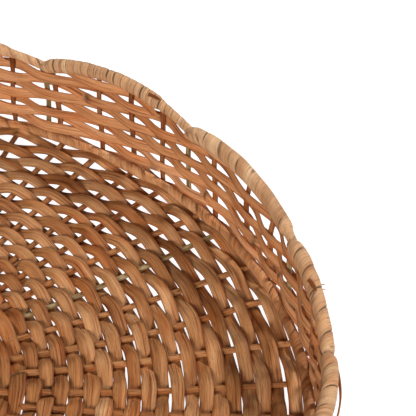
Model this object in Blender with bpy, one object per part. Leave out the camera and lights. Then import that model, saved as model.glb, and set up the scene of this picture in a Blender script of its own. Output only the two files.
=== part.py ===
"""Winnowing basket: a round, flat, open-weave base, a low upright wall and a scalloped bound rim.

Thin round ribs run out from a tight bound centre; further out a short rib is hooked on to each of
them. Ribs, centre and short ribs are one piece. At the foot a stake stands at the end of every rib.
Stakes are taken four at a time: their ends are laid over together into one lobe of the rim, so each
lobe with its four stakes is one piece. Flat strips go round in plain weave, over one rib and under
the next, first across the base and then up the wall, and a round hoop lies in the corner between
the two.

Metres, +Z up. The origin is the centre of the underside. Angles are in degrees, from +X towards +Y.
"""

import math

import bmesh
import bpy
from mathutils import Vector

# Clearance kept between neighbouring pieces.
GAP = 0.0004

# Ribs and stakes: round rods, drawn with six sides. Every second rib reaches the centre.
LOBES = 15
STAKES_PER_LOBE = 4
RIBS = LOBES * STAKES_PER_LOBE
RIB_STEP = 360.0 / RIBS
LOBE_STEP = 360.0 / LOBES
ROD_RADIUS = 0.00165
ROD_SIDES = 6
TIP_SHARE = 0.6             # a short rib's hooked tip is sharpened to this share of its thickness
FIRST_VALLEY = 4.4          # angle of one valley between two lobes of the rim
STAKE_LEAD = 0.5            # the first stake of a lobe stands this far past the valley

# Flat weaving strips. A strip's middle passes each rib at WEAVE_REACH from the rib's axis.
STRIP_THICK = 0.0010
WEAVE_REACH = 0.00275

# Base
RIB_PLANE = WEAVE_REACH + STRIP_THICK / 2      # height of the ribs' axes; the lowest strips touch z = 0
BASE_EDGE = 0.2788                             # outer edge of the outermost strip
BASE_PITCH = 0.00878
BASE_ROWS = 27
SPARSE_ROWS = 8                                # inner rows, woven on the long ribs only
HOOK_SLOT = 0.0042                             # room left between rows for the short ribs' hooks

# Foot hoop, in the corner between base and wall
HOOP_RADIUS = 0.2832
HOOP_TUBE = 0.00375
HOOP_SEGMENTS = 48
HOOP_SIDES = 8

# Wall
STAKE_RADIUS = 0.2907
WALL_ROWS = 8
WALL_START = RIB_PLANE + ROD_RADIUS + GAP
WALL_HEIGHT = 0.0486                           # woven height in a valley
WALL_RISE = 0.0134                             # how much higher the weave reaches under a crest

# Rim lobes: the bound bundle starts thick just after a valley and thins towards the next one.
VALLEY_Z = 0.0605
CREST_RISE = 0.0141
RIM_THICK = 0.0063
RIM_THIN = 0.0042
RIM_SECTIONS = 10
RIM_SIDES = 8

# Bound centre: a low disc that stands flat on the ground.
CENTRE_RADIUS = BASE_EDGE - BASE_ROWS * BASE_PITCH - HOOK_SLOT - GAP
CENTRE_SEGMENTS = 30
CENTRE_BEVEL = 0.0012


def clear_scene():
    for obj in list(bpy.data.objects):
        bpy.data.objects.remove(obj, do_unlink=True)


def material(name, colour, roughness):
    """A plain Principled material for one kind of piece."""
    made = bpy.data.materials.new(name)
    made.use_nodes = True
    shader = made.node_tree.nodes["Principled BSDF"]
    shader.inputs["Base Color"].default_value = (*colour, 1.0)
    shader.inputs["Roughness"].default_value = roughness
    shader.inputs["Metallic"].default_value = 0.0
    return made


def polar(radius, angle, height, across=0.0):
    """The point at a radius and angle, moved by across along the tangent."""
    turn = math.radians(angle)
    x = radius * math.cos(turn) - across * math.sin(turn)
    y = radius * math.sin(turn) + across * math.cos(turn)
    return Vector((x, y, height))


def add_object(name, mesh, finish):
    obj = bpy.data.objects.new(name, mesh)
    bpy.context.scene.collection.objects.link(obj)
    mesh.materials.clear()
    mesh.materials.append(finish)
    return obj


def mesh_from_sections(name, sections, closed):
    """Skin a row of equal polygons: a closed ring, or a bar with an end cap on each end."""
    shape = bmesh.new()
    loops = []
    for section in sections:
        loops.append([shape.verts.new(corner) for corner in section])
    count = len(loops)
    sides = len(sections[0])
    spans = count if closed else count - 1
    for span in range(spans):
        here = loops[span]
        there = loops[(span + 1) % count]
        for side in range(sides):
            following = (side + 1) % sides
            shape.faces.new((here[side], here[following], there[following], there[side]))
    if not closed:
        shape.faces.new(list(reversed(loops[0])))
        shape.faces.new(loops[-1])
    bmesh.ops.recalc_face_normals(shape, faces=shape.faces)
    mesh = bpy.data.meshes.new(name)
    shape.to_mesh(mesh)
    shape.free()
    return mesh


def smooth(mesh):
    mesh.shade_smooth()
    mesh.set_sharp_from_angle(angle=math.radians(50))


def rod_mesh(points, radii, up):
    """A round rod along points in one plane; up is square to that plane."""
    sections = []
    last = len(points) - 1
    for station, point in enumerate(points):
        into = (points[station] - points[max(station - 1, 0)]).normalized()
        out_of = (points[min(station + 1, last)] - points[station]).normalized()
        along = (into + out_of).normalized()
        sideways = along.cross(up)
        half_turn = into.angle(out_of) / 2 if 0 < station < last else 0.0
        stretch = 1 / math.cos(half_turn)
        section = []
        for side in range(ROD_SIDES):
            turn = math.pi / 2 + 2 * math.pi * side / ROD_SIDES
            offset = sideways * (math.cos(turn) * stretch) + up * math.sin(turn)
            section.append(point + offset * radii[station])
        sections.append(section)
    return mesh_from_sections("rod", sections, closed=False)


def united(base, others):
    """Join the other objects to base, remove them all and return the joined mesh."""
    for other in others:
        joint = base.modifiers.new("join", "BOOLEAN")
        joint.operation = "UNION"
        joint.object = other
    graph = bpy.context.evaluated_depsgraph_get()
    mesh = bpy.data.meshes.new_from_object(base.evaluated_get(graph))
    for used in [base, *others]:
        bpy.data.objects.remove(used, do_unlink=True)
    return mesh


def rib_angle(index):
    """Ribs and stakes are counted clockwise from the first valley."""
    return FIRST_VALLEY - STAKE_LEAD - index * RIB_STEP


def row_edge(row):
    """Inner edge of a base row, which is also the outer edge of the row before it."""
    edge = BASE_EDGE - (BASE_ROWS - row) * BASE_PITCH
    return edge - HOOK_SLOT if row < SPARSE_ROWS else edge


def base_row(row, finish):
    """One flat strip round the base, above one rib and below the next."""
    inner = row_edge(row) + GAP / 2
    outer = inner + BASE_PITCH - GAP
    stride = 2 if row < SPARSE_ROWS else 1
    half = STRIP_THICK / 2
    sections = []
    for crossing, index in enumerate(range(0, RIBS, stride)):
        side = 1 if (crossing + row) % 2 == 0 else -1
        middle = RIB_PLANE + side * WEAVE_REACH
        angle = rib_angle(index)
        sections.append((
            polar(inner, angle, middle - half),
            polar(outer, angle, middle - half),
            polar(outer, angle, middle + half),
            polar(inner, angle, middle + half),
        ))
    name = f"base_row_{row + 1:02d}"
    mesh = mesh_from_sections(name, sections, closed=True)
    return add_object(name, mesh, finish)


def woven_height(index):
    """Height of the woven part of the wall at a stake: low in the valleys, high under the crests."""
    share = (index % STAKES_PER_LOBE) / STAKES_PER_LOBE
    return WALL_HEIGHT + WALL_RISE * math.sin(math.pi * share)


def wall_row(row, finish):
    """One flat strip round the wall, inside one stake and outside the next."""
    half = STRIP_THICK / 2
    sections = []
    for index in range(RIBS):
        side = 1 if (index + row) % 2 == 0 else -1
        middle = STAKE_RADIUS + side * WEAVE_REACH
        pitch = woven_height(index) / WALL_ROWS
        low = WALL_START + row * pitch + GAP / 2
        high = low + pitch - GAP
        angle = rib_angle(index)
        sections.append((
            polar(middle - half, angle, low),
            polar(middle + half, angle, low),
            polar(middle + half, angle, high),
            polar(middle - half, angle, high),
        ))
    name = f"wall_row_{row + 1:02d}"
    mesh = mesh_from_sections(name, sections, closed=True)
    return add_object(name, mesh, finish)


def foot_hoop(finish):
    """The round hoop that lies on the ribs in the corner of base and wall."""
    height = RIB_PLANE + ROD_RADIUS + GAP + HOOP_TUBE
    sections = []
    for segment in range(HOOP_SEGMENTS):
        angle = segment * 360.0 / HOOP_SEGMENTS
        section = []
        for side in range(HOOP_SIDES):
            turn = 2 * math.pi * side / HOOP_SIDES
            radius = HOOP_RADIUS + HOOP_TUBE * math.cos(turn)
            section.append(polar(radius, angle, height + HOOP_TUBE * math.sin(turn)))
        sections.append(section)
    mesh = mesh_from_sections("foot_hoop", sections, closed=True)
    smooth(mesh)
    return add_object("foot_hoop", mesh, finish)


def centre_disc(finish):
    """The bound middle of the base, with a worn edge."""
    shape = bmesh.new()
    bmesh.ops.create_cone(
        shape,
        cap_ends=True,
        segments=CENTRE_SEGMENTS,
        radius1=CENTRE_RADIUS,
        radius2=CENTRE_RADIUS,
        depth=2 * RIB_PLANE,
    )
    bmesh.ops.translate(shape, vec=(0.0, 0.0, RIB_PLANE), verts=shape.verts)
    mesh = bpy.data.meshes.new("centre")
    shape.to_mesh(mesh)
    shape.free()
    disc = add_object("centre", mesh, finish)
    bevel = disc.modifiers.new("worn edge", "BEVEL")
    bevel.width = CENTRE_BEVEL
    bevel.segments = 1
    return disc


def base_ribs(finish):
    """The centre, the long ribs that it binds, and the short ribs hooked on to the long ones."""
    up = Vector((0.0, 0.0, 1.0))
    outer = STAKE_RADIUS - ROD_RADIUS - GAP
    inner = CENTRE_RADIUS - 2 * ROD_RADIUS
    hook = row_edge(SPARSE_ROWS) - HOOK_SLOT / 2
    ribs = []
    for index in range(RIBS):
        angle = rib_angle(index)
        end = polar(outer, angle, RIB_PLANE)
        if index % 2 == 0:
            points = [polar(inner, angle, RIB_PLANE), end]
            radii = [ROD_RADIUS, ROD_RADIUS]
        else:
            points = [polar(hook, rib_angle(index - 1), RIB_PLANE), polar(hook, angle, RIB_PLANE), end]
            radii = [ROD_RADIUS * TIP_SHARE, ROD_RADIUS, ROD_RADIUS]
        ribs.append(add_object("rib", rod_mesh(points, radii, up), finish))
    mesh = united(centre_disc(finish), ribs)
    mesh.name = "base_ribs"
    smooth(mesh)
    return add_object("base_ribs", mesh, finish)


def rim_height(share):
    """Height of the rim bundle's middle, share being 0 and 1 in the two valleys of a lobe."""
    return VALLEY_Z + CREST_RISE * math.sin(math.pi * share)


def rim_radius(share):
    return RIM_THICK - (RIM_THICK - RIM_THIN) * share * share


def rim_mesh():
    """The bound bundle of one lobe. Its ends are cut upright, so that the lobes meet face to face."""
    end = math.degrees(GAP / 2 / STAKE_RADIUS)
    sections = []
    for station in range(RIM_SECTIONS):
        share = station / (RIM_SECTIONS - 1)
        angle = FIRST_VALLEY - end - share * (LOBE_STEP - 2 * end)
        section = []
        for side in range(RIM_SIDES):
            turn = 2 * math.pi * (side + 0.5) / RIM_SIDES
            radius = STAKE_RADIUS + rim_radius(share) * math.cos(turn)
            section.append(polar(radius, angle, rim_height(share) + rim_radius(share) * math.sin(turn)))
        sections.append(section)
    return mesh_from_sections("rim", sections, closed=False)


def lobe_mesh(finish):
    """Four stakes joined to their lobe of the rim, as one closed body."""
    stakes = []
    for index in range(STAKES_PER_LOBE):
        angle = rib_angle(index)
        share = (STAKE_LEAD + index * RIB_STEP) / LOBE_STEP
        foot = polar(STAKE_RADIUS, angle, RIB_PLANE - ROD_RADIUS)
        top = polar(STAKE_RADIUS, angle, rim_height(share))
        outward = polar(1.0, angle, 0.0)
        stakes.append(add_object("stake", rod_mesh([foot, top], [ROD_RADIUS, ROD_RADIUS], outward), finish))
    mesh = united(add_object("rim", rim_mesh(), finish), stakes)
    mesh.name = "rim_lobe"
    smooth(mesh)
    return mesh


def main():
    clear_scene()
    base_strip = material("base_strip", (0.40, 0.20, 0.085), 0.62)
    wall_strip = material("wall_strip", (0.46, 0.21, 0.09), 0.60)
    rod = material("rod", (0.44, 0.21, 0.08), 0.60)
    rim_cane = material("rim_cane", (0.62, 0.39, 0.20), 0.55)
    hoop_cane = material("hoop_cane", (0.55, 0.30, 0.13), 0.55)

    base_ribs(rod)
    for row in range(BASE_ROWS):
        base_row(row, base_strip)
    foot_hoop(hoop_cane)
    for row in range(WALL_ROWS):
        wall_row(row, wall_strip)
    lobe_shape = lobe_mesh(rim_cane)
    for lobe in range(LOBES):
        obj = add_object(f"rim_lobe_{lobe + 1:02d}", lobe_shape, rim_cane)
        obj.rotation_euler.z = -math.radians(lobe * LOBE_STEP)


main()
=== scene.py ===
"""Looks of the winnowing basket: every rod, strip and binding turn of the weave, built round the frame.

Metres, +Z up, the origin at the centre of the underside. Angles are in degrees from +X towards +Y and
go clockwise in the lists; a value called turn is an angle in radians. The basket is woven on round
rods: RODS of them lie in the base and as many stakes stand in the wall, with one more beside a valley
of the rim. A row is one flat strip that goes round over one rod and under the next. Pieces are built
station by station along a curve; a share says how far along something a station is.

The materials read four numbers from the meshes: "along" is the distance along the cane, "across" runs
from -1 to 1 over its width, "tone" is a random number per length of cane and "crease" is 1 in a slit.
"""

import bpy
import numpy as np
from mathutils import Matrix, Vector


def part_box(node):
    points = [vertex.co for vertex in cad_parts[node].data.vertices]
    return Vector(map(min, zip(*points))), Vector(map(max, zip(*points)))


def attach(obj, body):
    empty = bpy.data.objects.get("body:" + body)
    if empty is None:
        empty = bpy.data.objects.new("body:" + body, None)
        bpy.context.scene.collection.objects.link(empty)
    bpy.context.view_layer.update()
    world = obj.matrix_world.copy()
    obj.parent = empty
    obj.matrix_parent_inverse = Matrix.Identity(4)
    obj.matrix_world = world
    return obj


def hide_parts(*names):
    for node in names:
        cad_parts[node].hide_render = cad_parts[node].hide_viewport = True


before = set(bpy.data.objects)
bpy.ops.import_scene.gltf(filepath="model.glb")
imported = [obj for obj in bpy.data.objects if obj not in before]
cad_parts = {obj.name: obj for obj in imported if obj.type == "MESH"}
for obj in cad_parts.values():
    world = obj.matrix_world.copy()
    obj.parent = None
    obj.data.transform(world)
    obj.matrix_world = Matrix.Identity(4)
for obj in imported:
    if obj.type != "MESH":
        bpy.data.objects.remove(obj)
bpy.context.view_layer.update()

SEED = 11    # each piece draws its random numbers from this plus a number of its own

# Sizes read from the frame
BASE_ROWS = sum(name.startswith("base_row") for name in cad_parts)
WALL_ROWS = sum(name.startswith("wall_row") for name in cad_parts)
LOBES = sum(name.startswith("rim_lobe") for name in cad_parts)
OUTER_ROW_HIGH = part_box(f"base_row_{BASE_ROWS:02d}")[1]
BASE_EDGE = OUTER_ROW_HIGH.x
ROD_PLANE = OUTER_ROW_HIGH.z / 2
FIRST_ROW_EDGE = -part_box("base_row_01")[0].x
STAKES_PER_LOBE = 4
RODS = STAKES_PER_LOBE * LOBES

# Split strip
STRIP_THICK = 0.0011
STRIP_CROWN = 0.00030          # how far its middle stands above its edges
STRIP_SIDES = 16
EDGE_UNEVEN = 0.05             # share by which its two edges wander
ROW_JOINS = 5                  # places where a row goes on with another length of cane
KNOT_REACH = 0.0040            # half length of the swelling at such a place
KNOT_LINE = 0.0014             # half length of the dark line there
SWING_UNEVEN = 0.08            # spread of the swing from rod to rod
ROD_SIDES = 12

# Base
BASE_PITCH = 0.00878
BASE_SWING = 0.00310           # how far a base strip's middle rises or dips at a rod
BASE_STRIP_WIDTHS = (0.0092, 0.0102)    # outermost and innermost
BASE_WAIST = 0.085             # share of its width that a strip loses halfway between two rods
BASE_TILT = 3.0                # degrees a strip leans at a rod
BASE_LAP = 13.0                # degrees more that it leans halfway between two rods
OUTER_ROW_SHIFT = 0.0022       # the outermost row lies close against the foot hoop
SPARSE_ROWS = 8                # inner rows, woven on every second rod
BASE_STEPS = 14                # stations from one rod to the next
SPARSE_STEPS = 20
ROD_RADIUS = 0.00205
ROD_START = 0.010              # radius at which the long rods start
ROD_HIDDEN = 0.002             # length of a short rod's start that lies under the first close row

# The rods that the photograph shows, outer end and inner end; the others are spread evenly.
SEEN_RODS = (
    (56.8, 56.0), (49.7, 50.8), (43.9, 44.3), (37.6, 37.9), (31.7, 32.2), (24.3, 25.7),
    (19.4, 18.5), (11.4, 10.6), (4.6, 2.4), (-3.9, -4.5), (-11.2, -12.6), (-17.0, -18.6),
)
OLIVE_ROD = 6                  # number of the one that is olive
OUTER_SPAN = (0.18, 0.27)      # radii at which a rod has its inner and its outer angle

# The rows lie a little further out round this angle. Both change for the inner rows.
BULGE = 0.0052
BULGE_ANGLE = 20.0
BULGE_SPREAD = 16.0
BULGE_ANGLE_MORE = 10.0        # how much greater the angle is for the inner rows
BULGE_SPREAD_MORE = 12.0
BULGE_INNER = (0.27, 0.20)     # radii at which this starts and is complete

# Bound centre: rounds of thin round cane woven close, and a coiled button above and below
CENTRE_START = 0.0135
CENTRE_PITCH = 0.0036
CENTRE_SWING = 0.0017
CENTRE_STEPS = 10
CENTRE_CANE_RADIUS = 0.0015
COIL_START = 0.0012
COIL_PITCH = 0.0029
COIL_TURNS = 4.2
COIL_RISE = 0.0016

# Foot hoop
HOOP_RADIUS = 0.2838
HOOP_TUBE = 0.0034
HOOP_HEIGHT = ROD_PLANE + 0.0028
# Painted shade on the foot hoop's binding: how much darker it is, round which angle and over what spread
HOOP_SHADE_ANGLE = -4.5        # its binding is darker round this angle: painted shade
HOOP_SHADE_SPREAD = 16.0
HOOP_PAINTED_SHADE = 0.95

# Bindings: narrowest and widest winding, share of the windings with a slit, seam between the others
HOOP_BINDING = ((0.009, 0.022), 0.25, 0.12)
NARROW_BINDING = ((0.0042, 0.0068), 0.30, 0.40)
WIDE_BINDING = ((0.012, 0.022), 0.85, 0.03)
BINDING_SIDES = 30
WINDING_CROWN = 0.00030        # how far the middle of a winding stands out where the seams are open
WINDING_UNEVEN = 0.00007       # spread of the windings' levels
SEAM_WIDTHS = (0.00022, 0.00038)        # half width of a closed seam, and how much wider a slit is
SEAM_DEPTHS = (0.00010, 0.00070)        # depth of a closed seam, and how much deeper a slit is
SLIT_PLACE = (2.0, 0.9)        # middle of a slit round the rod in radians, and its spread

# Wall: it leans in a little towards the rim
WALL_FOOT_RADIUS = 0.2898
WALL_LEAN = 0.0052
WALL_FOOT = 0.0006
WALL_PITCH = 0.0077
WALL_SWING = 0.0029
WALL_STRIP_WIDTH = 0.0085
WALL_WAIST = 0.12
WALL_LAP = 9.0
WALL_STEPS = 10
PAIR_SWING = 1.6               # the rows bend further round the pair of stakes at the first valley
DENT_ANGLE = 9.0               # the wall is pressed in a little round this angle
DENT_SPREAD = 11.0
DENT = 0.0034
DENT_DROP = 0.0012
DENT_FOOT = 0.008              # height at which the dent starts
DENT_EASE = 0.014              # height over which it comes and goes
STAKE_RADIUS = 0.0018
OLIVE_NEAR = 2.6               # stakes less than this many degrees from a valley are olive
SEEN_STAKES = (58.2, 52.8, 44.1, 38.5, 33.0, 27.9, 22.3, 14.1, 7.3, 1.4, -6.0, -11.0, -15.5, -20.0)

# Rim: lobes run from valley to valley. The photograph shows the first three and their four valleys.
SEEN_VALLEYS = (53.0, 27.5, 1.3, -19.0)
SEEN_CRESTS = (0.0114, 0.0059, 0.0048)  # how far the crests stand above the valleys
CRESTS = (0.0070, 0.0115)      # lowest and highest of the other crests
SEEN_SKEWS = (0.90, 0.78, 0.85)
CREST_SKEW = 0.85              # below 1 the crest lies nearer the start of the lobe
FILL_START = 0.10              # share of a lobe at which the filler under its crest starts
SEEN_FILL_ENDS = (0.79, 0.70, 0.90)
FILL_END = 0.88                # share at which it ends
FILL_WIDTHS = (0.0035, 0.0085) # least and most
VALLEY_Z = 0.0637
RIM_CIRCLE = 0.2846
SEEN_RIM_TUBES = (0.0050, 0.0055, 0.0050)
RIM_TUBE = 0.0048
RIM_TUBE_THIN = 0.0034         # where a lobe runs out into the next
THIN_LOBES = (0, LOBES - 1)    # these two thin early
THIN_EARLY = 0.76              # share of the lobe at which they do
THIN_FROM = (0.88, 0.97)       # earliest and latest share for the others
LOBE_SPAN = (-0.015, 1.05)     # a lobe starts before its valley and runs on past the next
LOBE_END_OUT = 0.0012          # its end lies this much further out than its start
LOBE_END_DROP = 0.03           # how fast it sinks past the next valley, per length of a lobe
NARROW_SHARE = 0.3             # how often a lobe after the first has the narrow binding
SWELL = 0.0055                 # the upper wall stands further out round this angle
SWELL_ANGLE = -26.0
SWELL_SPREAD = 11.0
WALL_TOP = VALLEY_Z

# Wear: angles of tucked ends and of splinters; start, length and reach of strips that bow outward
TUCKS = (34.2, 68.0, -8.5, -70.0, -131.0, 170.0, 118.0)
TUCK_REACH = 0.9               # degrees to both sides
TUCK_WIDTH = 0.0026
SPLINTERS = (-7.6, -8.4, -48.0, -95.0, -96.5, -150.0, 160.0, 121.0, 84.0)
SPLINTER_LENGTHS = (0.002, 0.006)
SPLINTER_RADIUS = 0.00042
LOOSE_STRIPS = ((-14.8, 13.0, 0.0052), (-142.0, 11.0, 0.0040))
LOOSE_STRIP_WIDTH = 0.0062
LOOSE_STRIP_TOP = 0.054        # height at which it starts
LOOSE_STRIP_DROP = 0.008       # how much lower it ends
LOOSE_STRIP_OUT = 0.0030       # how far outside the rim's circle its ends are

# Soft lights: name, place, size, power
SOFTBOXES = (
    ("softbox_front", (-1.10, -2.27, 1.25), 0.88, 80.0),
    ("softbox_behind", (1.75, 0.71, 2.03), 0.35, 56.0),
)
WORLD_LIGHT = 0.07
FLOOR_REACH = 6.0
FLOOR_Z = -0.0016              # just below the lowest strips
FLOOR_GREY = 0.25
FLOOR_GLOW = 0.95

# Camera: where it stands, and its right and up directions
CAMERA_PLACE = Vector((0.0, -0.6668, 0.68115))
CAMERA_RIGHT = Vector((0.96045, -0.27178, 0.06057))
CAMERA_UP = Vector((0.12705, 0.62131, 0.77320))
CAMERA_LENS = 132.75
SENSOR = 36.0


# ---------------------------------------------------------------- curves

def spread(seen, total):
    """The seen angles, then evenly spaced ones that fill the rest of the circle, clockwise."""
    missing = total - len(seen)
    gap = (360.0 - (seen[0] - seen[-1])) / (missing + 1)
    return np.array(list(seen) + [seen[-1] - gap * (count + 1) for count in range(missing)])


def wander(rng, count, size, smooth):
    """A closed random curve of count values with mean 0 and spread size, smooth over smooth values."""
    reach = np.arange(count)
    reach = np.minimum(reach, count - reach)
    kernel = np.exp(-0.5 * (reach / smooth) ** 2)
    curve = np.real(np.fft.ifft(np.fft.fft(rng.standard_normal(count)) * np.fft.fft(kernel)))
    curve -= curve.mean()
    return curve * size / curve.std()


def unit(vectors):
    """The vectors at length 1."""
    return vectors / np.linalg.norm(vectors, axis=-1, keepdims=True)


def tangents(points, closed):
    """The direction of a curve at each of its points."""
    if closed:
        return unit(np.roll(points, -1, axis=0) - np.roll(points, 1, axis=0))
    return unit(np.gradient(points, axis=0))


def run_length(points):
    """The distance along a curve from its first point to each one."""
    steps = np.linalg.norm(np.diff(points, axis=0), axis=1)
    return np.concatenate([[0.0], np.cumsum(steps)])


def on_circle(radius, turn, height):
    """Points at a radius, turn and height; with radius 1 and height 0 the outward directions."""
    return np.stack([radius * np.cos(turn), radius * np.sin(turn), height + 0 * turn], axis=1)


def upward(count):
    """The up direction, once for each of count stations."""
    return np.tile([0.0, 0.0, 1.0], (count, 1))


def hump(turn, middle, reach):
    """1 where turn (radians) is at the angle middle, falling off over reach degrees to both sides."""
    away = (np.degrees(turn) - middle + 180) % 360 - 180
    return np.exp(-((away / reach) ** 2))


def lap(share, most):
    """Lean of a strip in degrees at share, counted in rods: rows lap over each other between the rods."""
    return most * np.sin(np.pi * share) ** 2


def waist(share, slim):
    """Width factor at share, counted in rods: 1 at a rod, slimmer by slim halfway to the next."""
    return 1 - slim * np.sin(np.pi * share) ** 2


def weave(angles, row, share, swing, rng, wide_rod=None):
    """Turn (radians) and swing of a row at share, counted in rods.

    The swing is positive where the row passes on the near side of a rod. A row starts at a rod that it
    passes on the far side, so that its two ends are hidden there.
    """
    count = len(angles)
    share = share + (row + 1) % 2
    whole = np.concatenate([angles, angles[:3] - 360.0])
    rods = np.arange(len(whole))
    swings = swing * (1 + SWING_UNEVEN * rng.standard_normal(count))
    if wide_rod is not None:
        swings[wide_rod] *= PAIR_SWING
    swings = swings[rods % count]
    side = np.where((rods + row) % 2 == 0, swings, -swings)
    before = share.astype(int)
    ease = 0.5 - 0.5 * np.cos(np.pi * (share - before))
    turn = np.interp(share, rods, whole)
    return np.radians(turn), side[before] * (1 - ease) + side[before + 1] * ease


def splices(rng, count):
    """Tones of a row made of several lengths of cane."""
    ends = np.sort(rng.integers(0, count, ROW_JOINS))
    return rng.random(ROW_JOINS + 1)[np.searchsorted(ends, np.arange(count))]


# ---------------------------------------------------------------- meshes

def link(name, data):
    """A new object in the scene."""
    obj = bpy.data.objects.new(name, data)
    bpy.context.scene.collection.objects.link(obj)
    return obj


def build(name, grid, closed, along, across, tone, crease=0.0):
    """A mesh object from a grid of points [station, side, xyz], round in side."""
    stations, sides = grid.shape[:2]
    spans = stations if closed else stations - 1
    here = np.arange(spans)[:, None] * sides + np.arange(sides)[None, :]
    beside = np.arange(spans)[:, None] * sides + (np.arange(sides)[None, :] + 1) % sides
    total = stations * sides
    faces = np.stack([here, beside, (beside + sides) % total, (here + sides) % total], axis=-1)
    faces = faces.reshape(-1, 4).tolist()
    if not closed:
        faces.append(list(range(sides))[::-1])
        faces.append([total - sides + side for side in range(sides)])
    mesh = bpy.data.meshes.new(name)
    mesh.from_pydata(grid.reshape(-1, 3).tolist(), [], faces)
    for key, values in (("along", along), ("across", across), ("tone", tone), ("crease", crease)):
        layer = mesh.attributes.new(key, "FLOAT", "POINT")
        flat = np.broadcast_to(values, (stations, sides)).astype(np.float32).ravel()
        layer.data.foreach_set("value", flat)
    mesh.shade_smooth()
    return link(name, mesh)


def finish(obj, material, slot, *nodes):
    """Give a piece its material and hide the nodes that it stands for. The slot is not used."""
    obj.data.materials.append(material)
    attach(obj, "root")
    if nodes:
        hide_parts(*nodes)


def strip(name, rng, centre, across, width, tone, closed=True):
    """A split strip along centre, crowned on the near side, with a knot where its tone changes.

    Its section is a flattened oval: x runs across the strip and y through its thickness.
    """
    tangent = tangents(centre, closed)
    across = unit(across - tangent * np.sum(across * tangent, axis=1, keepdims=True))
    normal = np.cross(across, tangent)
    along = run_length(centre)
    changes = np.append(along[1:][np.diff(tone) != 0], 10 * along[-1])
    away = np.abs(along[:, None] - changes[None, :]).min(axis=1)
    knot = np.exp(-((away / KNOT_REACH) ** 2))
    line = np.exp(-((away / KNOT_LINE) ** 2))
    turn = 2 * np.pi * np.arange(STRIP_SIDES) / STRIP_SIDES
    x = np.sign(np.cos(turn)) * np.abs(np.cos(turn)) ** 0.6
    y = np.sin(turn) * STRIP_THICK / 2 + STRIP_CROWN * (1 - x ** 2)
    edges = [wander(rng, len(centre), size=1.0, smooth=5) for _ in range(2)]
    uneven = EDGE_UNEVEN * np.stack(edges, axis=1)
    half = (width * (1 + 0.10 * knot))[:, None] / 2
    half = half * (1 + np.where(x > 0, uneven[:, :1], uneven[:, 1:]))
    lift = y[None, :] * (1 + knot[:, None])
    grid = (
        centre[:, None, :]
        + across[:, None, :] * (x[None, :] * half)[:, :, None]
        + normal[:, None, :] * lift[:, :, None]
    )
    crease = 0.90 * line[:, None] * (0.7 + 0.3 * np.sin(9.0 * x + 5.0 * tone[:, None]))
    return build(name, grid, closed, along[:, None], x[None, :], tone[:, None], crease)


def ring_points(centre, girth, reference, closed):
    """Points round a rod from its girth [station, side], side 0 towards the reference direction."""
    tangent = tangents(centre, closed)
    first = unit(reference - tangent * np.sum(reference * tangent, axis=1, keepdims=True))
    second = np.cross(tangent, first)
    sides = girth.shape[1]
    turn = 2 * np.pi * np.arange(sides) / sides
    ring = (
        first[:, None, :] * np.cos(turn)[None, :, None]
        + second[:, None, :] * np.sin(turn)[None, :, None]
    )
    return centre[:, None, :] + ring * girth[:, :, None]


def round_rod(name, centre, girth, reference, tone, closed=False):
    """A plain round rod; girth is its radius at each station."""
    along = run_length(centre)[:, None]
    across = np.linspace(-1, 1, ROD_SIDES)[None, :]
    grid = ring_points(centre, girth[:, None] * np.ones(ROD_SIDES), reference, closed)
    return build(name, grid, closed, along, across, tone)


def bound_rod(name, rng, centre, girth, reference, binding, painted_shade=0.0, closed=False):
    """A rod wound with flat cane, which leans as a helix does.

    Each winding has a tone and a level of its own. A share of the windings leaves a dark slit that runs
    part of the way round; the others meet in a seam, from 0 (closed) to 1 (a dark line). The windings
    are made darker by a painted shade, given last, which may vary along the rod.
    """
    widths, slit_share, seam = binding
    along = run_length(centre)
    starts = [-widths[1]]
    while starts[-1] < along[-1] + widths[1]:
        starts.append(starts[-1] + rng.uniform(*widths))
    phase = np.interp(along, starts, np.arange(len(starts)))
    round_share = np.arange(BINDING_SIDES) / BINDING_SIDES
    wound = phase[:, None] - round_share[None, :]
    spare = 2    # keeps the numbers of the windings from going below 0
    number = np.floor(wound).astype(int) + spare
    share = wound - np.floor(wound)
    pitch = (np.gradient(along) / np.gradient(phase))[:, None]
    from_edge = np.minimum(share, 1 - share) * pitch

    windings = len(starts) + 2 * spare
    nearest = number + (share > 0.5)
    slit = (rng.random(windings + 1) < slit_share)[nearest]
    middle = rng.normal(*SLIT_PLACE, windings + 1)[nearest]
    part = np.clip(0.35 + 1.2 * np.cos(2 * np.pi * round_share[None, :] - middle), 0, 1)
    dark = np.where(slit, np.maximum(part, seam), seam)
    groove = np.exp(-((from_edge / (SEAM_WIDTHS[0] + SEAM_WIDTHS[1] * dark)) ** 2))
    crown = WINDING_CROWN * seam * (1 - (2 * share - 1) ** 2)
    level = (rng.standard_normal(windings) * WINDING_UNEVEN)[number]
    lift = crown + level - (SEAM_DEPTHS[0] + SEAM_DEPTHS[1] * dark) * groove
    grid = ring_points(centre, girth[:, None] + lift, reference, closed)
    around = 2 * np.pi * girth[:, None] * (round_share[None, :] + number)
    tones = 0.5 + 0.5 * (rng.random(windings) - 0.5)
    # Painted shade: the windings are darker where the given shade is high
    tones -= np.interp(np.arange(windings) - spare, phase, np.broadcast_to(painted_shade, len(phase)))
    return build(name, grid, closed, around, 2 * share - 1, tones[number], groove * dark)


# ---------------------------------------------------------------- materials

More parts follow.
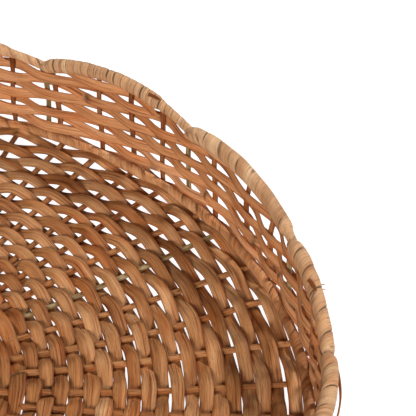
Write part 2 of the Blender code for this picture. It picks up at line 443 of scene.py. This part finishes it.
class Shading:
    """The nodes of one material, and short ways to add to them."""

    def __init__(self, name):
        self.material = bpy.data.materials.new(name)
        self.material.use_nodes = True
        self.nodes = self.material.node_tree.nodes
        self.links = self.material.node_tree.links
        self.shader = self.nodes["Principled BSDF"]

    def feed(self, socket, value):
        """Link another node's output to a socket, or set the socket to a colour or a number."""
        if isinstance(value, bpy.types.NodeSocket):
            self.links.new(value, socket)
        elif isinstance(value, tuple):
            socket.default_value = (*value, 1.0)
        else:
            socket.default_value = value

    def attribute(self, key):
        """A number that the meshes carry."""
        node = self.nodes.new("ShaderNodeAttribute")
        node.attribute_name = key
        return node.outputs["Fac"]

    def maths(self, operation, *values):
        node = self.nodes.new("ShaderNodeMath")
        node.operation = operation
        for socket, value in zip(node.inputs, values):
            self.feed(socket, value)
        return node.outputs[0]

    def noise(self, along, across, detail, shift):
        """Noise with so many spots per metre along the cane and over half its width."""
        place = self.nodes.new("ShaderNodeCombineXYZ")
        self.feed(place.inputs[0], self.maths("MULTIPLY", self.attribute("along"), along))
        self.feed(place.inputs[1], self.maths("MULTIPLY", self.attribute("across"), across))
        self.feed(place.inputs[2], self.maths("MULTIPLY_ADD", self.attribute("tone"), 37.0, shift))
        node = self.nodes.new("ShaderNodeTexNoise")
        node.inputs["Scale"].default_value = 1.0
        node.inputs["Detail"].default_value = detail
        node.inputs["Roughness"].default_value = 0.62
        self.feed(node.inputs["Vector"], place.outputs[0])
        return node.outputs[0]

    def ramp(self, source, *stops):
        """Colours for the values of source; each stop is a value and its colour."""
        node = self.nodes.new("ShaderNodeValToRGB")
        elements = node.color_ramp.elements
        while len(elements) < len(stops):
            elements.new(0.5)
        for element, (place, colour) in zip(elements, stops):
            element.position = place
            element.color = (*colour, 1.0)
        self.feed(node.inputs[0], source)
        return node.outputs[0]

    def mixed(self, kind, share, first, second):
        """The first colour, blended by share with the second in the way that kind says."""
        node = self.nodes.new("ShaderNodeMix")
        node.data_type = "RGBA"
        node.blend_type = kind
        self.feed(node.inputs[0], share)
        self.feed(node.inputs[6], first)
        self.feed(node.inputs[7], second)
        return node.outputs[2]


def grey(value):
    return (value, value, value)


def cane(name, dark, middle, light, streaks=1.0, contrast=0.9, dark_edge_and_shade=0.7):
    """Split or round cane: fibres and thin cracks along it, slow blotches, darker edges and slits.

    Streaks says how many fibres lie side by side, contrast how strong they are, and the last number how
    dark the
    two edges of the cane are: partly the cane's own darker edges, partly painted shade where pieces lap
    over each other.
    """
    tree = Shading(name)
    maths = tree.maths
    blotch = tree.noise(along=24.0, across=0.5, detail=2.0, shift=3.0)
    blush = tree.noise(along=17.0, across=0.7, detail=2.0, shift=61.0)
    streak = tree.noise(along=16.0, across=3.0 * streaks, detail=3.0, shift=11.0)
    fibres = tree.noise(along=80.0, across=15.0 * streaks, detail=4.0, shift=23.0)
    specks = tree.noise(along=700.0, across=20.0 * streaks, detail=2.0, shift=31.0)
    cracks = tree.noise(along=9.0, across=1.7 * streaks, detail=1.0, shift=47.0)

    body = maths("ADD", maths("MULTIPLY", tree.attribute("tone"), 0.26), maths("MULTIPLY", blotch, 0.74))
    colour = tree.ramp(body, (0.22, dark), (0.47, middle), (0.74, light))
    bands = ((0.33, (0.45, 0.26, 0.17)), (0.45, (0.97, 0.93, 0.89)), (0.68, (1.18, 1.19, 1.18)))
    ruddy = ((0.50, grey(1.0)), (0.66, (1.02, 0.80, 0.62)))
    threads = ((0.35, (0.54, 0.39, 0.29)), (0.47, grey(0.98)), (0.62, grey(1.16)))
    spots = ((0.30, (0.60, 0.48, 0.40)), (0.43, grey(1.0)))
    for share, source, stops in (
        (contrast, streak, bands),
        (contrast, blush, ruddy),
        (contrast, fibres, threads),
        (0.55, specks, spots),
    ):
        colour = tree.mixed("MULTIPLY", share, colour, tree.ramp(source, *stops))
    off_crack = maths("ABSOLUTE", maths("SUBTRACT", cracks, 0.5))
    crack = tree.ramp(off_crack, (0.0, grey(1.0)), (0.010, grey(0.0)))
    crack = maths("MULTIPLY", crack, maths("GREATER_THAN", blotch, 0.53))
    colour = tree.mixed("MIX", maths("MULTIPLY", crack, 0.75), colour, (0.105, 0.034, 0.012))
    # Darker edges: partly the cane's own edges, partly painted shade where strips lap over each other and
    # windings meet
    dark_edge_and_shade_mask = maths("POWER", maths("ABSOLUTE", tree.attribute("across")), 7.0)
    colour = tree.mixed("MULTIPLY", maths("MULTIPLY", dark_edge_and_shade_mask, dark_edge_and_shade), colour, (0.40, 0.23, 0.12))
    crease = maths("MULTIPLY", tree.attribute("crease"), 0.9)
    colour = tree.mixed("MIX", crease, colour, (0.030, 0.012, 0.006))
    tree.feed(tree.shader.inputs["Base Color"], colour)

    rough = tree.nodes.new("ShaderNodeMapRange")
    rough.inputs["To Min"].default_value = 0.43
    rough.inputs["To Max"].default_value = 0.70
    tree.feed(rough.inputs["Value"], streak)
    tree.feed(tree.shader.inputs["Roughness"], rough.outputs[0])
    tree.shader.inputs["Specular IOR Level"].default_value = 0.12
    tree.shader.inputs["Subsurface Weight"].default_value = 0.2
    tree.shader.inputs["Subsurface Radius"].default_value = (1.0, 0.42, 0.16)
    tree.shader.inputs["Subsurface Scale"].default_value = 0.0012

    relief = maths("ADD", maths("MULTIPLY", fibres, 0.8), maths("MULTIPLY", streak, 0.8))
    relief = maths("SUBTRACT", relief, maths("MULTIPLY", crack, 0.5))
    bump = tree.nodes.new("ShaderNodeBump")
    bump.inputs["Strength"].default_value = 0.7
    bump.inputs["Distance"].default_value = 0.0009
    tree.feed(bump.inputs["Height"], relief)
    tree.feed(tree.shader.inputs["Normal"], bump.outputs[0])
    return tree.material


# Each kind of cane, with its dark, middle and light colour
BASE_STRIP = cane("base_strip", (0.206, 0.067, 0.018), (0.402, 0.174, 0.062), (0.610, 0.337, 0.162))
WALL_STRIP = cane("wall_strip", (0.45, 0.180, 0.068), (0.62, 0.298, 0.130), (0.77, 0.420, 0.220))
ROD = cane(
    "rod", (0.21, 0.075, 0.022), (0.34, 0.142, 0.049), (0.46, 0.22, 0.090),
    streaks=0.6, dark_edge_and_shade=0.0,
)
STAKE = cane(
    "stake", (0.165, 0.050, 0.014), (0.270, 0.094, 0.029), (0.375, 0.152, 0.054),
    streaks=0.6, dark_edge_and_shade=0.0,
)
OLIVE = cane(
    "olive_rod", (0.22, 0.155, 0.065), (0.32, 0.235, 0.11), (0.43, 0.32, 0.17),
    streaks=0.6, dark_edge_and_shade=0.0,
)
HOOP_CANE = cane(
    "hoop_cane", (0.31, 0.124, 0.046), (0.53, 0.252, 0.108), (0.72, 0.41, 0.204),
    streaks=0.6, contrast=0.7, dark_edge_and_shade=0.3,
)
RIM_CANE = cane(
    "rim_cane", (0.44, 0.218, 0.096), (0.60, 0.348, 0.183), (0.75, 0.490, 0.286),
    streaks=0.45, contrast=0.5, dark_edge_and_shade=0.2,
)


# ---------------------------------------------------------------- base

OUTER_ENDS = spread([outer for outer, inner in SEEN_RODS], RODS)
INNER_ENDS = spread([inner for outer, inner in SEEN_RODS], RODS)


def rod_angles(radius):
    """The angles of all base rods at a radius."""
    share = np.clip((radius - OUTER_SPAN[0]) / (OUTER_SPAN[1] - OUTER_SPAN[0]), 0, 1)
    return INNER_ENDS + (OUTER_ENDS - INNER_ENDS) * share


def bulge(turn, radius):
    """How far out of its circle a base row lies at a turn (radians)."""
    inner = np.clip((BULGE_INNER[0] - radius) / (BULGE_INNER[0] - BULGE_INNER[1]), 0, 1)
    middle = BULGE_ANGLE + BULGE_ANGLE_MORE * inner
    reach = BULGE_SPREAD + BULGE_SPREAD_MORE * inner
    held = np.clip((BASE_EDGE - radius) / 0.012, 0.45, 1)    # the foot hoop holds the outer rows
    return BULGE * held * hump(turn, middle, reach)


def base_row(row):
    """One strip of the base; row 0 is the outermost."""
    rng = np.random.default_rng(SEED + 100 + row)
    sparse = row >= BASE_ROWS - SPARSE_ROWS
    steps = SPARSE_STEPS if sparse else BASE_STEPS
    middle = BASE_EDGE - (row + 0.5) * BASE_PITCH
    if row == 0:
        middle += OUTER_ROW_SHIFT
    angles = rod_angles(middle)
    if sparse:
        angles = angles[::2]
    count = len(angles) * steps
    share = np.arange(count) / steps
    turn, swing = weave(angles, row, share, BASE_SWING, rng)
    radius = middle + bulge(turn, middle) + wander(rng, count, size=0.00035, smooth=13)
    centre = on_circle(radius, turn, ROD_PLANE + swing)
    tilt = np.radians(BASE_TILT + lap(share, BASE_LAP) + wander(rng, count, size=3.0, smooth=9))
    across = -on_circle(np.cos(tilt), turn, np.sin(tilt))
    usual = np.interp(row, (0, BASE_ROWS - 1), BASE_STRIP_WIDTHS)
    width = usual * waist(share, BASE_WAIST) * (1 + wander(rng, count, size=0.05, smooth=14))
    name = f"base_strip_{BASE_ROWS - row:02d}"
    piece = strip(name, rng, centre, across, width, splices(rng, count))
    finish(piece, BASE_STRIP, "base_strip", f"base_row_{BASE_ROWS - row:02d}")


def base_rod(number):
    """One round rod of the base. Every second one starts only where the close weave starts."""
    rng = np.random.default_rng(SEED + 300 + number)
    start = ROD_START
    if number % 2 == 1:
        start = BASE_EDGE - (BASE_ROWS - SPARSE_ROWS) * BASE_PITCH - ROD_HIDDEN
    stations = 60
    radius = np.linspace(start, HOOP_RADIUS, stations)
    turn = np.radians([rod_angles(here)[number] for here in radius])
    turn += wander(rng, stations, size=0.0004, smooth=12) / np.maximum(radius, 0.05)
    centre = on_circle(radius, turn, ROD_PLANE + wander(rng, stations, size=0.00010, smooth=8))
    girth = ROD_RADIUS * (1 + 0.05 * rng.standard_normal() + wander(rng, stations, size=0.03, smooth=10))
    piece = round_rod(f"base_rod_{number + 1:02d}", centre, girth, upward(stations), rng.random())
    finish(piece, OLIVE if number == OLIVE_ROD else ROD, "rod", "base_ribs")


def base_centre():
    """The bound middle: thin rounds of cane woven close, and a coiled button above and below."""
    rng = np.random.default_rng(SEED + 500)
    angles = rod_angles(CENTRE_START)[::2]
    for number in range(int((FIRST_ROW_EDGE - CENTRE_START) / CENTRE_PITCH)):
        count = len(angles) * CENTRE_STEPS
        turn, swing = weave(angles, number, np.arange(count) / CENTRE_STEPS, CENTRE_SWING, rng)
        radius = CENTRE_START + number * CENTRE_PITCH + wander(rng, count, size=0.0001, smooth=6)
        centre = on_circle(radius, turn, ROD_PLANE + swing)
        girth = np.full(count, CENTRE_CANE_RADIUS)
        name = f"centre_round_{number + 1:02d}"
        piece = round_rod(name, centre, girth, upward(count), rng.random(), closed=True)
        finish(piece, BASE_STRIP, "base_strip", "base_ribs")
    stations = 260
    turn = np.linspace(0, 2 * np.pi * COIL_TURNS, stations)
    radius = COIL_START + turn / (2 * np.pi) * COIL_PITCH
    girth = np.full(stations, CENTRE_CANE_RADIUS)
    for side, name in ((1, "centre_coil_top"), (-1, "centre_coil_under")):
        centre = on_circle(radius, turn, ROD_PLANE + side * COIL_RISE)
        piece = round_rod(name, centre, girth, upward(stations), rng.random())
        finish(piece, HOOP_CANE, "hoop_cane", "base_ribs")


# ---------------------------------------------------------------- foot hoop

def foot_hoop():
    """The hoop in the corner, wound with cane."""
    rng = np.random.default_rng(SEED + 600)
    stations = 4200
    turn = -np.linspace(0, 2 * np.pi, stations, endpoint=False)
    radius = HOOP_RADIUS + wander(rng, stations, size=0.0004, smooth=90)
    centre = on_circle(radius, turn, HOOP_HEIGHT + wander(rng, stations, size=0.0005, smooth=120))
    outward = on_circle(1.0, turn, 0.0)
    girth = HOOP_TUBE * (1 + wander(rng, stations, size=0.05, smooth=60))
    # Painted shade: the binding is darker round one angle of the hoop
    painted_shade = HOOP_PAINTED_SHADE * hump(turn, HOOP_SHADE_ANGLE, HOOP_SHADE_SPREAD)
    piece = bound_rod("hoop_binding", rng, centre, girth, outward, HOOP_BINDING, painted_shade, closed=True)
    finish(piece, HOOP_CANE, "hoop_cane", "foot_hoop")


# ---------------------------------------------------------------- wall

STAKE_ANGLES = spread(SEEN_STAKES, RODS)
PAIR_STAKE = 1    # the stake with a second one close beside it
VALLEYS = spread(SEEN_VALLEYS, LOBES)
LOBE_BOUNDS = np.append(VALLEYS, VALLEYS[0] - 360.0)


def dent(turn):
    """1 at the middle of the wall's shallow dent, 0 away from it."""
    return hump(turn, DENT_ANGLE, DENT_SPREAD)


def swell(turn):
    """How far the rim stands out of its circle at a turn (radians)."""
    return SWELL * hump(turn, SWELL_ANGLE, SWELL_SPREAD)


def wall_radius(height, turn):
    """Radius of the wall's middle at a height."""
    share = (height - ROD_PLANE) / (WALL_TOP - ROD_PLANE)
    upright = WALL_FOOT_RADIUS + (swell(turn) - WALL_LEAN) * share
    above_foot = np.clip((height - DENT_FOOT) / DENT_EASE, 0, 1)
    below_top = np.clip((WALL_TOP - height) / DENT_EASE, 0, 1)
    return upright - DENT * dent(turn) * (above_foot * below_top)


def crest_rise(lobe):
    """How far a lobe's crest stands above the valleys."""
    if lobe < len(SEEN_CRESTS):
        return SEEN_CRESTS[lobe]
    return np.random.default_rng(SEED + 50 + lobe).uniform(*CRESTS)


def by_lobe(seen, usual):
    """A value for every lobe: the seen ones, then the usual one."""
    return np.array([*seen, *[usual] * (LOBES - len(seen))])


CREST_RISES = np.array([crest_rise(lobe) for lobe in range(LOBES)])
CREST_SKEWS = by_lobe(SEEN_SKEWS, CREST_SKEW)
FILL_ENDS = by_lobe(SEEN_FILL_ENDS, FILL_END)
RIM_TUBES = by_lobe(SEEN_RIM_TUBES, RIM_TUBE)


def lobe_share(degrees):
    """Which lobe an angle is in, and how far along it, from 0 to 1."""
    first = LOBE_BOUNDS[0]
    turned = first - np.mod(first - np.asarray(degrees, float), 360.0)
    lobe = np.clip(np.searchsorted(-LOBE_BOUNDS, -turned, side="right") - 1, 0, LOBES - 1)
    return lobe, (LOBE_BOUNDS[lobe] - turned) / (LOBE_BOUNDS[lobe] - LOBE_BOUNDS[lobe + 1])


def lobe_angle(lobe, share):
    """The angle at a share of a lobe."""
    return LOBE_BOUNDS[lobe] + (LOBE_BOUNDS[lobe + 1] - LOBE_BOUNDS[lobe]) * share


def scallop(lobe, share):
    """Rise along a lobe, from 0 in the valleys to 1 at its broad crest."""
    return np.sin(np.pi * share ** CREST_SKEWS[lobe]) ** 0.8


def rim_height(degrees):
    """Height of the rim's middle: a scallop with a broad top over each lobe."""
    lobe, share = lobe_share(degrees)
    return VALLEY_Z + CREST_RISES[lobe] * scallop(lobe, share)


def wall_row(row):
    """One strip of the wall; row 0 is the lowest."""
    rng = np.random.default_rng(SEED + 700 + row)
    count = RODS * WALL_STEPS
    share = np.arange(count) / WALL_STEPS
    turn, swing = weave(STAKE_ANGLES, row, share, WALL_SWING, rng, wide_rod=PAIR_STAKE)
    height = WALL_FOOT + (row + 0.5) * WALL_PITCH + wander(rng, count, size=0.0005, smooth=16)
    height -= DENT_DROP * dent(turn) * min(row / 2, 1)
    radius = wall_radius(height, turn) - swing + wander(rng, count, size=0.0002, smooth=9)
    centre = on_circle(radius, turn, height)
    tilt = np.radians(lap(share, WALL_LAP) + wander(rng, count, size=4.0, smooth=7))
    across = -on_circle(np.sin(tilt), turn, np.cos(tilt))
    width = WALL_STRIP_WIDTH * waist(share, WALL_WAIST) * (1 + wander(rng, count, size=0.05, smooth=12))
    piece = strip(f"wall_strip_{row + 1:02d}", rng, centre, across, width, splices(rng, count))
    finish(piece, WALL_STRIP, "wall_strip", f"wall_row_{row + 1:02d}")


def crest_strip(lobe):
    """The part of a ninth row that fills the space under the crest of a lobe."""
    rng = np.random.default_rng(SEED + 800 + lobe)
    ends = lobe_angle(lobe, np.array([FILL_START, FILL_ENDS[lobe]]))
    whole = np.append(STAKE_ANGLES, STAKE_ANGLES[0] - 360.0)
    shares = np.interp(-ends, -whole, np.arange(len(whole)))
    stations = 60
    share = np.linspace(shares[0], shares[1], stations)
    turn, swing = weave(STAKE_ANGLES, WALL_ROWS, share - 1, WALL_SWING, rng)
    bow = np.sin(np.pi * np.linspace(0, 1, stations))
    top = rim_height(np.degrees(turn)) - RIM_TUBE * 0.6    # a little inside the rim
    low = WALL_FOOT + WALL_ROWS * WALL_PITCH - 0.0012      # a little below the eighth row's edge
    height = (top + low) / 2
    centre = on_circle(wall_radius(height, turn) - swing, turn, height)
    across = -upward(stations)
    width = np.clip(top - low, *FILL_WIDTHS) * np.clip(bow * 3, 0.4, 1)
    tone = np.full(stations, rng.random())
    piece = strip(f"crest_strip_{lobe + 1:02d}", rng, centre, across, width, tone, closed=False)
    finish(piece, WALL_STRIP, "wall_strip")


def stake(name, number, angle, olive, lean=0.0):
    """One upright rod of the wall, from the base into the rim, whose foot is lean degrees aside."""
    rng = np.random.default_rng(SEED + 900 + number)
    stations = 26
    height = np.linspace(ROD_PLANE - 0.001, rim_height(angle), stations)
    turn = np.radians(angle + lean * np.linspace(1, 0, stations))
    turn += wander(rng, stations, size=0.0005, smooth=8) / WALL_FOOT_RADIUS
    radius = wall_radius(height, turn) + wander(rng, stations, size=0.00015, smooth=6)
    centre = on_circle(radius, turn, height)
    outward = on_circle(1.0, turn, 0.0)
    girth = STAKE_RADIUS * (1 + 0.05 * rng.standard_normal() + wander(rng, stations, size=0.03, smooth=6))
    piece = round_rod(name, centre, girth, outward, rng.random())
    lobe, _ = lobe_share(angle)
    finish(piece, OLIVE if olive else STAKE, "rod", f"rim_lobe_{int(lobe) + 1:02d}")


# ---------------------------------------------------------------- rim

def rim_lobe(lobe):
    """One bound lobe of the rim: thick after its valley, thinning into the next."""
    rng = np.random.default_rng(SEED + 1000 + lobe)
    stations = 560
    share = np.linspace(*LOBE_SPAN, stations)
    turn = np.radians(lobe_angle(lobe, share))
    rise = CREST_RISES[lobe] * scallop(lobe, np.clip(share, 0, 1))
    height = VALLEY_Z + rise - LOBE_END_DROP * np.maximum(share - 1, 0)
    centre = on_circle(RIM_CIRCLE + swell(turn) + LOBE_END_OUT * (share - 0.5), turn, height)
    outward = on_circle(1.0, turn, 0.0)
    thin_from = THIN_EARLY if lobe in THIN_LOBES else rng.uniform(*THIN_FROM)
    full = 1 / (1 + np.exp((share - thin_from) / 0.012))
    start = np.clip(0.72 + share * 6.0, 0.6, 1.0)    # the bundle swells from a thinner start
    girth = (RIM_TUBE_THIN + (RIM_TUBES[lobe] - RIM_TUBE_THIN) * full) * start
    girth = girth * (1.04 - 0.16 * share) * (1 + wander(rng, stations, size=0.03, smooth=30))
    narrow = lobe == 0 or rng.random() < NARROW_SHARE
    binding = NARROW_BINDING if narrow else WIDE_BINDING
    piece = bound_rod(f"rim_binding_{lobe + 1:02d}", rng, centre, girth, outward, binding)
    finish(piece, RIM_CANE, "rim_cane", f"rim_lobe_{lobe + 1:02d}")


def rim_frame(degrees):
    """The middle of the rim at an angle, and its outward direction."""
    turn = np.radians(np.atleast_1d(degrees).astype(float))
    middle = on_circle(RIM_CIRCLE + swell(turn), turn, rim_height(np.degrees(turn)))
    return middle, on_circle(1.0, turn, 0.0)


def tuck(number, degrees):
    """The end of a length of binding, in the dark stake cane: it curls up from the rim's top and runs
    along it.
    """
    rng = np.random.default_rng(SEED + 1200 + number)
    stations = 24
    middle, outward = rim_frame(degrees + np.linspace(TUCK_REACH, -TUCK_REACH, stations))
    up = upward(stations)
    roll = np.radians(np.linspace(122, 98, stations))[:, None]
    reach = RIM_TUBE + 0.0001 + 0.0016 * np.linspace(1, 0, stations)[:, None] ** 2
    centre = middle + reach * (outward * np.cos(roll) + up * np.sin(roll))
    across = up * np.cos(roll) - outward * np.sin(roll)
    width = TUCK_WIDTH * np.clip(np.linspace(2.4, 0.3, stations), 0, 1)
    tone = np.full(stations, 0.2 * rng.random())
    piece = strip(f"tucked_end_{number + 1:02d}", rng, centre, across, width, tone, closed=False)
    finish(piece, STAKE, "rod")


def splinter(number, degrees):
    """A thin fibre that has sprung loose from the rim binding and curls outward."""
    rng = np.random.default_rng(SEED + 1300 + number)
    stations = 14
    share = np.linspace(0, 1, stations)[:, None]
    middle, outward = rim_frame(np.full(stations, degrees))
    up = upward(stations)
    beside = np.cross(up, outward)
    length = rng.uniform(*SPLINTER_LENGTHS)
    out = RIM_TUBE - 0.0006 + length * share * (1 - 0.3 * share)
    curl = rng.uniform(-0.6, 0.6) * length * share ** 2
    rise = 0.001 + rng.uniform(-0.3, 0.5) * length * share ** 2
    centre = middle + outward * out + beside * curl + rise * up
    girth = SPLINTER_RADIUS * (1 - 0.7 * share[:, 0])
    piece = round_rod(f"splinter_{number + 1:02d}", centre, girth, beside, 0.2 * rng.random())
    finish(piece, RIM_CANE, "rim_cane")


def loose_strip(number, start, length, reach):
    """A strip that has sprung out of the wall below a valley of the rim and bows outward."""
    rng = np.random.default_rng(SEED + 1400 + number)
    stations = 40
    share = np.linspace(0, 1, stations)
    turn = np.radians(start - length * share)
    bow = reach * np.sin(np.pi * share) ** 0.8
    height = LOOSE_STRIP_TOP - LOOSE_STRIP_DROP * share + wander(rng, stations, size=0.0003, smooth=8)
    centre = on_circle(RIM_CIRCLE + swell(turn) + LOOSE_STRIP_OUT + bow, turn, height)
    across = -upward(stations)
    width = np.full(stations, LOOSE_STRIP_WIDTH)
    tone = np.full(stations, 0.3)
    piece = strip(f"loose_strip_{number + 1:02d}", rng, centre, across, width, tone, closed=False)
    finish(piece, WALL_STRIP, "wall_strip")


# ---------------------------------------------------------------- studio

def world_light():
    """A faint, even white light from everywhere."""
    world = bpy.data.worlds.new("studio")
    world.use_nodes = True
    background = world.node_tree.nodes["Background"]
    background.inputs["Color"].default_value = (1.0, 1.0, 1.0, 1.0)
    background.inputs["Strength"].default_value = WORLD_LIGHT
    bpy.context.scene.world = world
    bpy.context.scene.view_settings.view_transform = "Standard"


def pale_floor():
    """A plain floor that glows faintly, so that it stays white between the basket's strips."""
    mesh = bpy.data.meshes.new("floor")
    corners = [(-1, -1), (1, -1), (1, 1), (-1, 1)]
    points = [(x * FLOOR_REACH, y * FLOOR_REACH, 0) for x, y in corners]
    mesh.from_pydata(points, [], [(0, 1, 2, 3)])
    pale = bpy.data.materials.new("floor_white")
    pale.use_nodes = True
    shader = pale.node_tree.nodes["Principled BSDF"]
    shader.inputs["Base Color"].default_value = (FLOOR_GREY, FLOOR_GREY, FLOOR_GREY, 1.0)
    shader.inputs["Roughness"].default_value = 0.8
    shader.inputs["Emission Color"].default_value = (1.0, 1.0, 1.0, 1.0)
    shader.inputs["Emission Strength"].default_value = FLOOR_GLOW
    mesh.materials.append(pale)
    floor = link("floor", mesh)
    floor.location.z = FLOOR_Z


def softbox(name, place, size, energy):
    """A square soft lamp that faces the origin."""
    light = bpy.data.lights.new(name, "AREA")
    light.shape = "SQUARE"
    light.size = size
    light.energy = energy
    lamp = link(name, light)
    lamp.location = place
    lamp.rotation_euler = (-lamp.location).to_track_quat("-Z", "Y").to_euler()


def photo_camera():
    """The photograph's camera."""
    lens = bpy.data.cameras.new("camera")
    lens.lens = CAMERA_LENS
    lens.sensor_width = SENSOR
    lens.clip_start = 0.01
    camera = link("camera", lens)
    back = CAMERA_RIGHT.cross(CAMERA_UP)
    turn = Matrix((CAMERA_RIGHT, CAMERA_UP, back)).transposed()
    camera.matrix_world = Matrix.Translation(CAMERA_PLACE) @ turn.to_4x4()
    bpy.context.scene.camera = camera


# ---------------------------------------------------------------- build

for row in range(BASE_ROWS):
    base_row(row)
for number in range(RODS):
    base_rod(number)
base_centre()
foot_hoop()
for row in range(WALL_ROWS):
    wall_row(row)
for lobe in range(LOBES):
    crest_strip(lobe)
    rim_lobe(lobe)
for number, angle in enumerate(STAKE_ANGLES):
    off_valley = np.abs((VALLEYS - angle + 180) % 360 - 180).min()
    stake(f"stake_{number + 1:02d}", number, angle, olive=off_valley < OLIVE_NEAR)
for number, angle in enumerate(TUCKS):
    tuck(number, angle)
for number, angle in enumerate(SPLINTERS):
    splinter(number, angle)
for number, (start, length, reach) in enumerate(LOOSE_STRIPS):
    loose_strip(number, start, length, reach)
stake("stake_beside_valley", RODS, SEEN_VALLEYS[0] - 1.3, olive=False, lean=-0.9)
world_light()
pale_floor()
for name, place, size, energy in SOFTBOXES:
    softbox(name, place, size, energy)
photo_camera()
